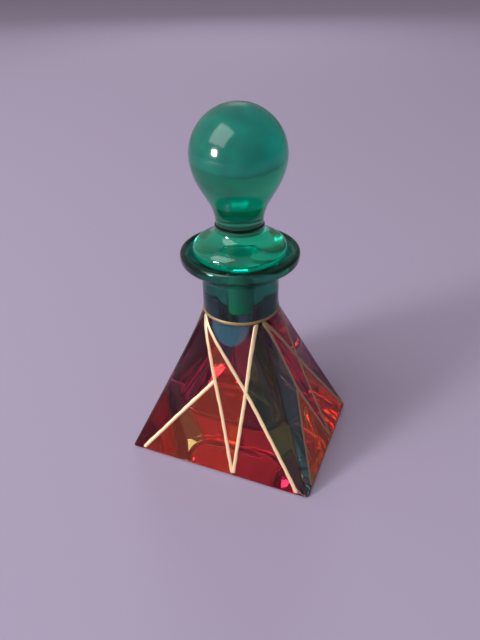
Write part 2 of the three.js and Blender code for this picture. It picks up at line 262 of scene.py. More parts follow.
class Face:
    """One face: its name, its turn about the axis, which of x (0) and y (1) runs along it, and its
    half sizes along and away from it at the base and at the neck."""

    def __init__(self, name, turn, axis):
        self.name = name
        self.turn = math.radians(turn)
        self.base = base_half[[axis, 1 - axis]]
        self.top = top_half[[axis, 1 - axis]]
        self.half_angle = math.degrees(math.atan2(*self.base))

    def half(self, share):
        """Half sizes at a share of the body's height: straight from the base to the neck."""
        return tuple(b + (t - b) * share for b, t in zip(self.base, self.top))

    def body(self, p, share, out=0.0):
        """The outside at p and a share of the height, moved out: the rounded rectangle there, plus
        share cubed times the step from the rectangle at the neck to the neck's circle."""
        half_along, half_away = self.half(share)
        flat = rounded_rectangle(p, half_along + out, half_away + out, ridge_radius + out)
        flat_top = rounded_rectangle(p, self.top[0] + out, self.top[1] + out, ridge_radius + out)
        round_top = circle(p, self.half_angle, neck_radius + out)
        swell = np.clip(share, 0, 1) ** ROUNDING_POWER
        along, away = (f + swell * (r - t) for f, r, t in zip(flat, round_top, flat_top))
        return self.place(along, away, share * body_height)

    def place(self, along, away, up):
        """From along, away and up to the object's x, y and z, by the face's turn."""
        cos, sin = math.cos(self.turn), math.sin(self.turn)
        return join(along * cos + away * sin, along * sin - away * cos, up)

    def measure_along(self, point):
        """How far points lie along the face: x cos + y sin of the face's turn."""
        return point[..., 0] * math.cos(self.turn) + point[..., 1] * math.sin(self.turn)


faces = [Face("front", 0, 0), Face("right", 90, 1), Face("back", 180, 0), Face("left", 270, 1)]
print("a ridge lies", [round(f.half_angle, 1) for f in faces[:2]], "degrees from its faces' middles")

# %% Loops round all four faces
# A corner of the hollow takes at most this share of the wall's half size, so that some wall is left.
CORNER_LIMIT = 0.8
places = face_places(flat_steps=34, ridge_steps=5)


def body_loops(shares, out=0.0):
    """One loop for each share of the height, with one offset or one offset each."""
    shares, out = np.reshape(shares, (-1, 1)), np.reshape(out, (-1, 1))
    return np.concatenate([face.body(places, shares, out) for face in faces], axis=1)


def round_loops(profile):
    """One circle for each (radius, height), with its points below the body's."""
    radius, height = np.asarray(profile, float).T[:, :, None]
    parts = [f.place(*circle(places, f.half_angle, radius), height) for f in faces]
    return np.concatenate(parts, axis=1)


def hollow_loops(heights, inset):
    """The inside wall: a rounded rectangle one wall inside the body, which turns into the bore's
    circle with the third power of the climb from floor to shoulder."""
    up, inset = np.reshape(heights, (-1, 1)), np.reshape(inset, (-1, 1))
    climb = ((up - floor_thickness) / (shoulder_height - floor_thickness)) ** ROUNDING_POWER
    parts = []
    for face in faces:
        halves = [h - wall_thickness - inset for h in face.half(up / body_height)]
        radius = np.minimum(hollow_corner_radius, CORNER_LIMIT * np.minimum(*halves))
        flat = rounded_rectangle(places, *halves, radius)
        round_wall = circle(places, face.half_angle, bore_radius)
        along, away = (f + climb * (r - f) for f, r in zip(flat, round_wall))
        parts.append(face.place(along, away, up))
    return np.concatenate(parts, axis=1)


print("points in a loop round the body:", body_loops([0.5]).shape[1])

# %% [markdown]
# ## The glass of the bottle
#
# The bottle is one piece of glass: a thick pyramid, a neck with a flared lip, a bore and a hollow.
# It could be a solid with a second mesh for the hollow, but then the light would meet two skins in
# the bore. Glass shows its inner walls as much as its outer ones, so one closed skin goes up the
# outside, over the lip's thin rim, down the saucer's slope and the bore and round the hollow, and
# light bends once at every wall.

# %% Profile of the neck, the lip and the bore
bead_r = lip_radius - lip_bead_radius
bead_z = lip_height - lip_bead_radius
rim = arc(lip_radius - lip_rim_radius, lip_height - lip_rim_radius, lip_rim_radius, -10, 127, 24)
seat_outer = np.array([bead_r - lip_bead_radius - seat_land, lip_height - seat_depth + seat_rise])
seat_inner = np.array([bore_radius + bore_chamfer, lip_height - seat_depth])
neck_profile = np.vstack([
    np.linspace((neck_radius, body_height), (neck_radius, neck_top), 13)[1:-1],
    arc(neck_radius + lip_fillet_radius, neck_top, lip_fillet_radius, 180, 100, 14),
    arc(bead_r, bead_z, lip_bead_radius, -55, -20, 8),
    rim,
    np.linspace(rim[-1], seat_outer, 9)[1:-1],
    np.linspace(seat_outer, seat_inner, 5),
])
bore_top, bore_end = seat_inner[1] - bore_chamfer, shoulder_height
bore_profile = np.linspace((bore_radius, bore_top), (bore_radius, bore_end), 13)
print("neck profile points:", len(neck_profile), "bore profile points:", len(bore_profile))

# %% The skin of the bottle
bevel = np.radians(np.linspace(0, 90, 6))
foot_shares = base_bevel * (1 - np.cos(bevel)) / body_height
foot_insets = -base_bevel * (1 - np.sin(bevel))
body_shares = np.linspace(bevel_share, 1, 41)[1:]
edge = np.radians(np.linspace(0, 90, 9))
wall_foot = floor_thickness + hollow_edge_radius
wall_heights = np.linspace(shoulder_height, wall_foot, 33)[1:]
edge_heights = wall_foot - hollow_edge_radius * np.sin(edge)[1:]
edge_insets = hollow_edge_radius * (1 - np.cos(edge))[1:]
bottle_skin = np.vstack([
    body_loops(foot_shares, foot_insets),
    body_loops(body_shares),
    round_loops(neck_profile),
    round_loops(bore_profile),
    hollow_loops(wall_heights, 0.0),
    hollow_loops(edge_heights, edge_insets),
])
bottle = make_stack("bottle_glass", bottle_skin)
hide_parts("bottle")
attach(bottle, "bottle")
print("bottle glass:", len(bottle.data.polygons), "faces")

# %% [markdown]
# ## The stopper
#
# The stopper is a ball that runs into a short stem, a thin groove at the stem's foot, a domed
# flange that nests in the lip, and a plug in the bore. All of it is round, so it is a profile
# carried round the axis. The sweeps from ball to stem and from stem to flange are cubic Beziers,
# because each has to leave one form along its tangent and to meet the next upright. An arc can't.

# %% Profile of the stopper
def bezier(a, b, c, d, steps):
    """Cubic Bezier: (1-t)^3 a + 3(1-t)^2 t b + 3(1-t) t^2 c + t^3 d."""
    t = np.linspace(0, 1, steps + 1)[:, None]
    a, b, c, d = (np.asarray(v, float) for v in (a, b, c, d))
    return (1 - t) ** 3 * a + 3 * (1 - t) ** 2 * t * b + 3 * (1 - t) * t**2 * c + t**3 * d


def seat_line(radius):
    """Height of the flange's underside: the seat's slope, one clearance higher."""
    slope = (seat_outer[1] - seat_inner[1]) / (seat_outer[0] - seat_inner[0])
    return seat_inner[1] + (radius - seat_inner[0]) * slope + seat_clearance


# The throat starts at the stem with a handle 7 mm upright, and joins the ball 10 degrees below its
# middle with a handle 8 mm along the tangent there.
ball_end = -10
ball = arc(0, ball_centre, ball_radius, ball_end, 90, 50)
tangent = np.array([math.sin(math.radians(ball_end)), -math.cos(math.radians(ball_end))])
throat_foot = np.array([stem_radius, stem_foot])
throat = bezier(throat_foot, throat_foot + [0, 7], ball[0] + tangent * 8, ball[0], 30)
# The dome is a quarter ellipse without its flat top, (sin a, cos a) from the edge at 90 degrees up
# to 30. There the hollow sweep takes over, with a handle 2.7 mm along the dome's slope, and ends at
# the groove with one 2.2 mm upright.
dome_angle = np.radians(np.linspace(90, 30, 13))
dome_rise = dome_height - flange_edge_height
dome = np.stack([
    dome_middle_radius + (flange_radius - dome_middle_radius) * np.sin(dome_angle),
    flange_edge_height + dome_rise * np.cos(dome_angle),
], axis=-1)
groove_foot = np.array([stem_radius + stem_groove, stem_foot - 2 * stem_groove])
sweep = bezier(dome[-1], dome[-1] + [-2.6, 0.87], groove_foot - [0, 2.2], groove_foot, 18)
tip_radius = plug_radius - plug_taper
stopper_profile = np.vstack([
    arc(tip_radius - plug_tip_radius, plug_tip + plug_tip_radius, plug_tip_radius, -90, 0, 8),
    np.linspace((tip_radius, plug_tip + plug_tip_radius), (plug_radius, seat_line(plug_radius)), 17)[1:],
    arc(flange_radius - flange_edge_radius, flange_edge_height, flange_edge_radius, -75, -8, 14),
    dome,
    sweep[1:],
    [[stem_radius - stem_groove, stem_foot - stem_groove]],
    throat,
    ball[1:-1],
])
print("stopper profile points:", len(stopper_profile))

# %% The skin of the stopper
around_steps = 160


def lathe(profile):
    """The profile carried round the axis: (r cos a, r sin a, z)."""
    angle = np.linspace(0, 2 * np.pi, around_steps, endpoint=False)
    radius, height = np.asarray(profile, float).T[:, :, None]
    return join(radius * np.cos(angle), radius * np.sin(angle), height)


stopper = make_stack("stopper_glass", lathe(stopper_profile))
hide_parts("stopper")
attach(stopper, "stopper")
print("stopper glass:", len(stopper.data.polygons), "faces")

# %% [markdown]
# ## Panels and strokes on a face
#
# The pattern is the common one of leaded glass: straight lines that cross and leave panels between
# them. Its corners could be written in millimetres, but each is a share of the face's half width and
# of its height, so that a line stays on its ridge or on the base when a size changes. On the wide
# faces the right stroke starts at the corner of the neck, and on the deep ones half way along.

# %% Points and lines of the pattern
# Each point on a wide face and on a deep one, as shares of the half width there and of the height.
pattern = {
    "top_left": ((-0.92, 1.0), (-0.92, 1.0)),
    "top_right": ((0.9, 1.0), (0.56, 1.0)),
    "branch": ((-0.175, 0.6), (-0.23, 0.52)),
    "vee": ((0.19, 0.0), (0.2, 0.0)),
    "base_left": ((-0.88, 0.0), (-0.82, 0.0)),
    "base_right": ((0.9, 0.0), (0.96, 0.0)),
}
line_ends = {
    "steep": ("top_left", "branch", "vee"),
    "long": ("top_left", "base_right"),
    "right": ("top_right", "vee"),
    "low": ("branch", "base_left"),
}
HALVINGS = 30


def pattern_points(face):
    """The named points of a face's pattern, along the face and up, in millimetres."""
    deep = face.name in ("right", "left")
    shares = {name: both[deep] for name, both in pattern.items()}
    return {n: np.array([a * face.half(up)[0], up * body_height]) for n, (a, up) in shares.items()}


def on_face(face, along, up, out):
    """The point of the body at a distance along the face and a height, moved out: p is found by
    halving the interval that holds it, for the whole array at once, because along grows with p."""
    share = up / body_height
    low, high = np.full(np.shape(along), -1.0), np.full(np.shape(along), 1.0)
    for _ in range(HALVINGS):
        middle = (low + high) / 2
        short = face.measure_along(face.body(middle, share, out)) < along
        low = np.where(short, middle, low)
        high = np.where(short, high, middle)
    return face.body(low, share, out)


print("front pattern, mm:", {n: p.round(1).tolist() for n, p in pattern_points(faces[0]).items()})

# %% [markdown]
# ## Gold strokes
#
# Each stroke is a line of relief paint, squeezed from a fine tip by hand: it is a little higher in
# the middle, its edges wander by a tenth of a millimetre, and it starts and ends in a round blob.
# It could be a curve with a bevel, but a face swells near the neck and a straight curve would leave
# it. So a half round section is carried along its line and every point is set on the face's own
# surface. Slow sine waves with unequal lengths move its edges: no two strokes are alike, and every
# run gives the same.

# %% A bead of relief paint along a line on a face
stroke_width = 1.35
stroke_height = 0.3
stroke_sink = 0.04
stroke_step = 0.35
width_tremor = 0.09
height_tremor = 0.1
path_tremor = 0.07
SECTION_POWER = 0.6


def distances(line):
    """How far each point of a broken line is from its start, along the line."""
    return np.concatenate([[0], np.cumsum(np.hypot(*np.diff(line, axis=0).T))])


def wander(along, seed, size):
    """A slow hand tremor: three sine waves of 5, 11 and 23 mm with phases set by the seed."""
    phase = np.random.default_rng(seed).uniform(0, 2 * np.pi, 3)
    lengths, heights = (5.0, 11.0, 23.0), (0.35, 0.3, 0.35)
    waves = [h * np.sin(2 * np.pi * along / w + f) for w, h, f in zip(lengths, heights, phase)]
    return size * sum(waves)


def bead(centre, width, seed):
    """A bead's grid in (along the face, up, out): centre (n, 2) gives its middle line, width its
    breadth. Across it the height follows a flattened half round, (1 - x^2)^0.6, and the section
    returns underneath. Towards each end it narrows along a quarter circle."""
    step = np.gradient(centre, axis=0)
    along = distances(centre)
    direction = step / np.hypot(*step.T)[:, None]
    normal = np.stack([-direction[:, 1], direction[:, 0]], axis=-1)
    near_end = np.clip(np.minimum(along, along[-1] - along) / (width / 2), 0, 1)
    tip = np.sqrt(np.clip(1 - (1 - near_end) ** 2, 0, 1))
    half = width / 2 * (1 + wander(along, seed, width_tremor)) * tip
    height = stroke_height * (1 + wander(along, seed + 1, height_tremor)) * tip
    middle = centre + normal * wander(along, seed + 2, path_tremor)[:, None]
    across = np.cos(np.linspace(np.pi, 0, 13))
    top = np.clip(1 - across**2, 0, 1) ** SECTION_POWER
    under = np.linspace(1, -1, 7)[1:-1]
    x = np.concatenate([across, under])
    rise = np.concatenate([top, np.zeros(len(under))])
    place = middle[:, None, :] + normal[:, None, :] * (half[:, None] * x)[:, :, None]
    out = height[:, None] * rise - stroke_sink
    return place, out


tremor = wander(np.linspace(0, 50, 200), 1, path_tremor)
print("a stroke's middle line wanders by up to", round(np.abs(tremor).max(), 2), "mm")

# %% The strokes of one face
def run_along(points, step):
    """Points at even steps along a broken line."""
    points = np.asarray(points, float)
    lengths = distances(points)
    at = np.linspace(0, lengths[-1], int(lengths[-1] / step) + 2)
    return np.stack([np.interp(at, lengths, points[:, k]) for k in range(2)], axis=-1)


def close_ends(rows, columns):
    """Triangle fans that close the first and the last ring of an open tube."""
    around = np.arange(1, columns - 1)
    first = np.stack([np.zeros_like(around), around + 1, around], axis=-1)
    last = np.stack([np.zeros_like(around), around, around + 1], axis=-1) + (rows - 1) * columns
    return np.vstack([first, last])


def face_strokes(face, seed):
    """All strokes of a face as one piece, each a closed bead that overlaps where lines meet."""
    named = pattern_points(face)
    points, quads, triangles, count = [], [], [], 0
    for number, ends in enumerate(line_ends.values()):
        line = run_along([named[n] for n in ends], stroke_step)
        line = line[line[:, 1] > base_bevel]
        place, out = bead(line, stroke_width, seed + 10 * number)
        grid = on_face(face, place[..., 0], place[..., 1], out)
        rows, columns, _ = grid.shape
        points.append(grid.reshape(-1, 3))
        quads.append(grid_faces(rows, columns) + count)
        triangles.append(close_ends(rows, columns) + count)
        count += rows * columns
    piece = make_piece(f"gold_{face.name}", np.vstack(points), np.vstack(quads), np.vstack(triangles))
    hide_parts(f"gold_strokes_{face.name}")
    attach(piece, "bottle")
    return piece


gold_pieces = [face_strokes(face, 100 * number + 1) for number, face in enumerate(faces)]
print("gold strokes:", sum(len(g.data.polygons) for g in gold_pieces), "faces")

# %% [markdown]
# ## Stain films
#
# Each panel is brushed with a transparent stain a few hundredths of a millimetre thick. It is made
# as a thin closed sheet that holds the glass surface in its middle: light that enters goes through
# both of its sides, and light that is mirrored inside the glass goes twice through its inner side.
# That second case is why stained glass looks so deep, and a colour on the glass alone misses it.
# A panel is the part of the face between its strokes, so its outline is the whole face, cut along
# those strokes' lines.

# %% Outline of a panel
film_half_thickness = 0.03
film_top = body_height + 0.3
film_foot = 0.35
film_line_gap = 0.1


def clip_left(outline, a, b, inwards=0.0):
    """The part of a convex outline to the left of the line from a to b, moved in by a distance."""
    normal = np.array([a[1] - b[1], b[0] - a[0]]) / np.hypot(*(b - a))
    side = (outline - a) @ normal - inwards
    kept = []
    for here, there, point, after in zip(side, np.roll(side, -1), outline, np.roll(outline, -1, axis=0)):
        if here >= 0:
            kept.append(point)
        if here * there < 0:
            kept.append(point + (after - point) * here / (here - there))
    return np.array(kept)


def panel_lines(face):
    """For each panel the lines that it lies to the left of. A line turned round has its other side
    on the left."""
    n = pattern_points(face)
    upper, lower = (n["top_left"], n["branch"]), (n["branch"], n["vee"])
    long, right = (n["top_left"], n["base_right"]), (n["top_right"], n["vee"])
    low = (n["branch"], n["base_left"])
    return {
        "left": [upper[::-1], low[::-1]],
        "low": [lower[::-1], low],
        "narrow": [upper, lower, long[::-1], right[::-1]],
        "top": [long, right[::-1]],
        "base": [long[::-1], right],
        "right": [long, right],
    }


print("panels of a face:", ", ".join(panel_lines(faces[0])))

# %% The film of a panel
# A film starts and ends a little inside the pointed tips of its outline, where it has some width.
film_row_step = 1.2
film_columns = 18
film_tip = 0.05
film_least_width = 0.02


def panel_rows(outline):
    """Levels of a panel's outline, close together, and its left and right ends at each level."""
    z_low, z_high = outline[:, 1].min() + film_tip, outline[:, 1].max() - film_tip
    corners_z = np.unique(np.clip(outline[:, 1], z_low, z_high).round(4))
    spans = list(zip(corners_z, corners_z[1:]))
    parts = [np.linspace(a, b, int((b - a) / film_row_step) + 2)[:-1] for a, b in spans]
    levels = np.concatenate([*parts, corners_z[-1:]])
    left, right = np.full(len(levels), np.inf), np.full(len(levels), -np.inf)
    for a, b in zip(outline, np.roll(outline, -1, axis=0)):
        if abs(a[1] - b[1]) < 1e-6:
            continue
        share = (levels - a[1]) / (b[1] - a[1])
        at = a[0] + (b[0] - a[0]) * share
        within = (share > -1e-6) & (share < 1 + 1e-6)
        left = np.where(within, np.minimum(left, at), left)
        right = np.where(within, np.maximum(right, at), right)
    return levels, left, right


def film_piece(face, name, lines):
    """A panel's film: a grid from its left to its right end at each level, once inside and once
    outside the glass surface, and a rim that joins them."""
    half = face.base[0]
    outline = np.array([(-half, film_foot), (half, film_foot), (half, film_top), (-half, film_top)])
    for a, b in lines:
        outline = clip_left(outline, a, b, film_line_gap)
    levels, left, right = panel_rows(outline)
    ridge = face.measure_along(face.body(np.ones(len(levels)), levels / body_height))
    left, right = np.maximum(left, -ridge), np.minimum(right, ridge)
    keep = right - left > film_least_width
    levels, left, right = levels[keep], left[keep], right[keep]
    along, up = np.linspace(left, right, film_columns, axis=1), levels[:, None]
    sheets = [on_face(face, along, up, out) for out in (film_half_thickness, -film_half_thickness)]
    rings = np.concatenate([sheets[0], sheets[1][:, ::-1]], axis=1)
    rows, columns, _ = rings.shape
    column = np.arange(columns // 2 - 1)
    cap = np.stack([column, column + 1, columns - 2 - column, columns - 1 - column], axis=-1)
    quads = np.vstack([grid_faces(rows, columns), cap[:, ::-1], cap + (rows - 1) * columns])
    piece = make_piece(f"film_{face.name}_{name}", rings.reshape(-1, 3), quads)
    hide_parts(f"stain_{face.name}_{name}")
    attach(piece, "bottle")
    return piece


films = {}
for face in faces:
    for name, lines in panel_lines(face).items():
        films[face.name, name] = film_piece(face, name, lines)
print("films:", len(films), "pieces,", sum(len(f.data.polygons) for f in films.values()), "faces")

# %% [markdown]
# ## Stain and band round the neck
#
# The neck and the lip are stained green all over, down into the seat, and a gold band hides where
# that green ends. Both follow the neck's own profile. The stain is that profile moved out and in by
# half its thickness and turned round the axis, and the band is a bead laid round the neck's foot.

# %% Neck stain
def offset_profile(points, distance):
    """The profile moved along its normals, which are the mean directions of its neighbours turned
    to the right."""
    step = np.gradient(points, axis=0)
    step /= np.hypot(*step.T)[:, None]
    return points + np.stack([step[:, 1], -step[:, 0]], axis=-1) * distance


stained = np.vstack([[(neck_radius, body_height + 0.6)], neck_profile[1:]])
stain_ring = np.vstack([
    offset_profile(stained, film_half_thickness),
    offset_profile(stained, -film_half_thickness)[::-1],
])
neck_stain = make_ring("neck_stain", lathe(stain_ring))
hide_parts("neck_stain")
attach(neck_stain, "bottle")
print("neck stain:", len(neck_stain.data.polygons), "faces")

# %% Neck band
band_width = 1.12
band_middle = body_height + 0.7
band_tremor = 0.03
band_steps = 240
angle = np.linspace(0, 2 * np.pi, band_steps, endpoint=False)[:, None]
turn = np.linspace(0, 2 * np.pi, 24, endpoint=False)
# Half a width that breathes, and a level that wanders, with whole waves round the neck so that the
# ring closes. The section is flat on the glass and rises as (cos turn) ^ 0.6, like the strokes.
band_half = band_width / 2 + band_tremor * np.sin(5 * angle) * np.sin(2 * angle + 1)
band_level = band_middle + band_tremor * np.sin(3 * angle + 0.5)
band_z = band_level + band_half * np.sin(turn)
band_rise = (stroke_height + stroke_sink) * np.clip(np.cos(turn), 0, 1) ** SECTION_POWER
band_r = neck_radius - stroke_sink + band_rise
neck_band = make_ring("gold_neck_band", join(band_r * np.cos(angle), band_r * np.sin(angle), band_z))
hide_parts("neck_band")
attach(neck_band, "bottle")
print("neck band:", len(neck_band.data.polygons), "faces")

# %% [markdown]
# ## Colours and nodes
#
# Colours are written as sRGB hex values, as a colour picker shows them, and one function turns them
# into the linear values that light is worked out with. Another adds a node with its values and links.
# Every finish is made from these two, on the piece's own Object coordinates, so a pattern stays on
# the glass when the piece moves, and its scale is one over a real size. Nothing made by hand has one
# even colour, so most finishes mix two tones by a noise.

# %% Colour and nodes
# A Mix node has the sockets of every data type under one name, so its inputs A and B and its result
# go by number: first those for plain numbers, then those for colours.
NUMBER_A, NUMBER_B, NUMBER_RESULT = 2, 3, 0
MIX_A, MIX_B, MIX_RESULT = 6, 7, 2


def linear(hex_colour):
    """An sRGB hex colour as linear red, green and blue: x / 12.92 up to 0.04045 and
    ((x + 0.055) / 1.055) ^ 2.4 above."""
    srgb = np.array([int(hex_colour[k:k + 2], 16) for k in (1, 3, 5)]) / 255
    value = np.where(srgb <= 0.04045, srgb / 12.92, ((srgb + 0.055) / 1.055) ** 2.4)
    return (*value.tolist(), 1.0)


def add_node(owner, kind, inputs=None, **settings):
    """Adds a node, gives it its settings, and for each input sets a value or links an output."""
    node = owner.node_tree.nodes.new(kind)
    for name, value in settings.items():
        setattr(node, name, value)
    for name, value in (inputs or {}).items():
        if isinstance(value, bpy.types.NodeSocket):
            owner.node_tree.links.new(value, node.inputs[name])
        else:
            node.inputs[name].default_value = value
    return node


def new_material(name):
    """An empty node material, and its Object coordinates."""
    material = bpy.data.materials.new(name)
    material.use_nodes = True
    material.node_tree.nodes.clear()
    return material, add_node(material, "ShaderNodeTexCoord").outputs["Object"]


def two_tones(material, place, size, detail, dark, light):
    """Noise of a size in millimetres, and the two linear colours that it mixes."""
    noise = add_node(material, "ShaderNodeTexNoise", {
        "Vector": place, "Scale": 1 / (size * MM), "Detail": detail}).outputs["Fac"]
    colour = add_node(material, "ShaderNodeMix", {
        "Factor": noise, MIX_A: dark, MIX_B: light}, data_type="RGBA").outputs[MIX_RESULT]
    return noise, colour


print("crimson #c83c64 in linear light:", [round(c, 3) for c in linear("#c83c64")[:3]])

# %% [markdown]
# ## Pressed soda-lime glass
#
# The bottle is ordinary soda-lime glass, pressed in a mould and then fire polished: a flame melts
# its skin smooth, so it mirrors sharply, and only faint waves of the mould are left. It could be a
# plain glass shader, but without the waves its walls look like plastic. Its index of refraction,
# 1.51, is the usual one of such glass, and it is what turns the hollow into dark and bright bands.

# %% Pressed soda-lime glass
GLASS_IOR = 1.51
bottle_wave = 14.3
wave_depth = 0.4


def mould_waves(material, place, length, strength):
    """The normal of glass with faint waves: noise of a length in millimetres, as a relief."""
    waves = add_node(material, "ShaderNodeTexNoise", {
        "Vector": place, "Scale": 1 / (length * MM), "Detail": 1.0})
    return add_node(material, "ShaderNodeBump", {
        "Height": waves.outputs["Fac"], "Strength": strength,
        "Distance": wave_depth * MM}).outputs["Normal"]


def pressed_glass():
    """Clear soda-lime glass: bright and sharp, with waves 14 mm long and some hundredths deep."""
    material, place = new_material("pressed_soda_lime_glass")
    glass = add_node(material, "ShaderNodeBsdfPrincipled", {
        "Base Color": linear("#f2f7f4"), "Roughness": 0.0, "IOR": GLASS_IOR,
        "Transmission Weight": 1.0, "Normal": mould_waves(material, place, bottle_wave, 0.05)})
    add_node(material, "ShaderNodeOutputMaterial", {"Surface": glass.outputs["BSDF"]})
    return material


bottle.data.materials.append(pressed_glass())
print("bottle glass bends light with an index of", GLASS_IOR)

# %% [markdown]
# ## Emerald glass
#
# The stopper is coloured right through. A tint on its skin would make the thin flange as dark as the
# ball, so the colour is in the volume: absorption takes red out with every millimetre, and the ball
# comes out deepest. The flange and the stem are fire polished. On top of that, the tint of the skin
# holds painted light and shade: a lighter green on the flange is painted light, a deeper one on the
# stem is painted shade, and so is a dark ring in the groove below the stem. The ball is softer and
# clouded, with a line where its finish ends. The plug is ground so that it seals: ground glass is
# rough and whitish, and shows behind the neck as a light column. A brighter green band at the foot
# of the plug is painted light.
# They could be five materials, but light has to enter and leave a volume through the same one, so
# one material holds all of them and tells them apart by the height on the piece.

# %% Emerald glass
stopper_wave = 11.1
glass_clearness = 0.94
plug_clearness = 0.1
flange_roughness = 0.05
ball_roughness = 0.13
plug_roughness = 0.45
ball_cloud = 6.0
# Level and half width of the dark ring of painted shade in the groove at the stem's foot.
groove_shade_level = stem_foot - 0.4
groove_shade_half = 0.55
# How much red is lost per metre. At 400 a third of it is left after 2.8 mm.
RED_ABSORPTION = 400.0
# Each part begins at its first height, and is whole at its second.
part_levels = {
    "stem": (84.5, 84.9),
    "ball": (91.2, 91.4),
    "plug": (70.2, 69.8),
    # The band of painted light at the plug's foot.
    "plug_foot_painted_light": (58.5, 58.1),
}


def emerald_glass():
    """Green glass. Each part's mask goes from 0 to 1 between its two heights, and mixes the part's
    own value over that of the flange. The groove's mask is 1 where the height is within half its
    width of its level, and lays a ring of painted shade there. The flange's own tone is painted light."""
    material, place = new_material("emerald_glass")
    height = add_node(material, "ShaderNodeSeparateXYZ", {"Vector": place}).outputs["Z"]
    masks = {}
    for part, (start, end) in part_levels.items():
        masks[part] = add_node(material, "ShaderNodeMapRange", {
            "Value": height, "From Min": start * MM, "From Max": end * MM}).outputs["Result"]
    masks["groove"] = add_node(material, "ShaderNodeMath", {
        0: height, 1: groove_shade_level * MM, 2: groove_shade_half * MM}, operation="COMPARE").outputs["Value"]
    roughness = flange_roughness
    for part, value in (("ball", ball_roughness), ("plug", plug_roughness)):
        roughness = add_node(material, "ShaderNodeMix", {
            "Factor": masks[part], NUMBER_A: roughness, NUMBER_B: value}).outputs[NUMBER_RESULT]
    clearness = add_node(material, "ShaderNodeMix", {
        "Factor": masks["plug"], NUMBER_A: glass_clearness, NUMBER_B: plug_clearness})
    _, clouded = two_tones(material, place, ball_cloud, 2.0, linear("#067c68"), linear("#1cffc8"))
    tones = {
        # The stem's deeper green is painted shade.
        "stem": linear("#08a06c"),
        "ball": clouded,
        "plug": linear("#90e8e8"),
        # The brighter green band at the plug's foot is painted light.
        "plug_foot_painted_light": linear("#30ffd0"),
        # The dark ring in the groove is painted shade.
        "groove": linear("#10241c"),
    }
    # The flange's light green, which the parts are mixed over, is painted light.
    colour = linear("#10f4c0")
    for part, tone in tones.items():
        colour = add_node(material, "ShaderNodeMix", {
            "Factor": masks[part], MIX_A: colour, MIX_B: tone}, data_type="RGBA").outputs[MIX_RESULT]
    glass = add_node(material, "ShaderNodeBsdfPrincipled", {
        "Base Color": colour, "Roughness": roughness,
        "IOR": GLASS_IOR, "Transmission Weight": clearness.outputs[NUMBER_RESULT],
        "Normal": mould_waves(material, place, stopper_wave, 0.06)})
    depth = add_node(material, "ShaderNodeVolumeAbsorption", {
        "Color": (0.0, 0.966, 0.97, 1.0), "Density": RED_ABSORPTION})
    add_node(material, "ShaderNodeOutputMaterial", {
        "Surface": glass.outputs["BSDF"], "Volume": depth.outputs["Volume"]})
    return material


stopper.data.materials.append(emerald_glass())
print("red light left after 5 mm of emerald glass:", round(math.exp(-RED_ABSORPTION * 5 * MM), 3))

# %% [markdown]
# ## Transparent stain
#
# The panels are a transparent lacquer, brushed on. It takes colour out of the light and doesn't bend
# it, so the film is a Transparent shader with a tint, and the glass below does the bending. Light
# crosses the film's outer and inner side, so each side has the square root of the tint. Where the
# brush left more, the tone is deeper: a noise 3 mm wide and four times as long mixes the two tones.
# Red and orange pigments are slightly milky, which a small share of a Diffuse shader stands for.
# At its outer side the film is glossy, like the glass, and mirrors more at a grazing angle.

# %% Transparent stain
streak_width = 3.1
streak_stretch = 0.25
# A blue-green patch in the plum stain below the neck is painted light: an image of the green bore as it
# is seen through the face, painted on.
bore_image_centre = np.array([0.9, 53.5])
bore_image_reach = np.array([6.3, 7.2])
bore_image_cover = 0.4


def brushed_tint(material, place, thin, thick):
    """Square root of a tint between thin and thick, mixed by noise stretched along the face."""
    streaks = add_node(material, "ShaderNodeMapping", {
        "Vector": place, "Scale": (1.0, 1.0, streak_stretch)})
    roots = [(*np.sqrt(linear(tone)[:3]).tolist(), 1.0) for tone in (thin, thick)]
    _, tint = two_tones(material, streaks.outputs["Vector"], streak_width, 3.0, *roots)
    return tint


def painted_bore_image_mask(material, place):
    """The painted image of the green bore below the neck: inside an ellipse in x and z, where the length
    of ((x - cx) / rx, (z - cz) / rz) is under 1, the mask is the image's cover."""
    scale = 1 / (bore_image_reach * MM)
    shift = -bore_image_centre * MM * scale
    centred = add_node(material, "ShaderNodeMapping", {
        "Vector": place, "Location": (shift[0], 0.0, shift[1]), "Scale": (scale[0], 0.0, scale[1])})
    length = add_node(material, "ShaderNodeVectorMath", {
        0: centred.outputs["Vector"]}, operation="LENGTH")
    return add_node(material, "ShaderNodeMapRange", {
        "Value": length.outputs["Value"], "From Min": 1.05, "From Max": 0.95,
        "To Max": bore_image_cover}).outputs["Result"]


def glossy_film(material, film):
    """The film under a mirror whose share follows Schlick's rule, 0.025 + 0.97 facing ^ 5."""
    facing = add_node(material, "ShaderNodeLayerWeight", {"Blend": 0.5}).outputs["Facing"]
    grazing = add_node(material, "ShaderNodeMath", {0: facing, 1: 5.0}, operation="POWER")
    mirrored = add_node(material, "ShaderNodeMath", {
        0: grazing.outputs["Value"], 1: 0.97, 2: 0.025}, operation="MULTIPLY_ADD")
    mirror = add_node(material, "ShaderNodeBsdfGlossy", {"Roughness": 0.05})
    return add_node(material, "ShaderNodeMixShader", {
        0: mirrored.outputs["Value"], 1: film, 2: mirror.outputs["BSDF"]}).outputs["Shader"]


def clouded_film(material, film, colour, share):
    """The film with a share of pigment in it that scatters light in its own colour."""
    pigment = add_node(material, "ShaderNodeBsdfDiffuse", {"Color": linear(colour)})
    return add_node(material, "ShaderNodeMixShader", {
        0: share, 1: film, 2: pigment.outputs["BSDF"]}).outputs["Shader"]


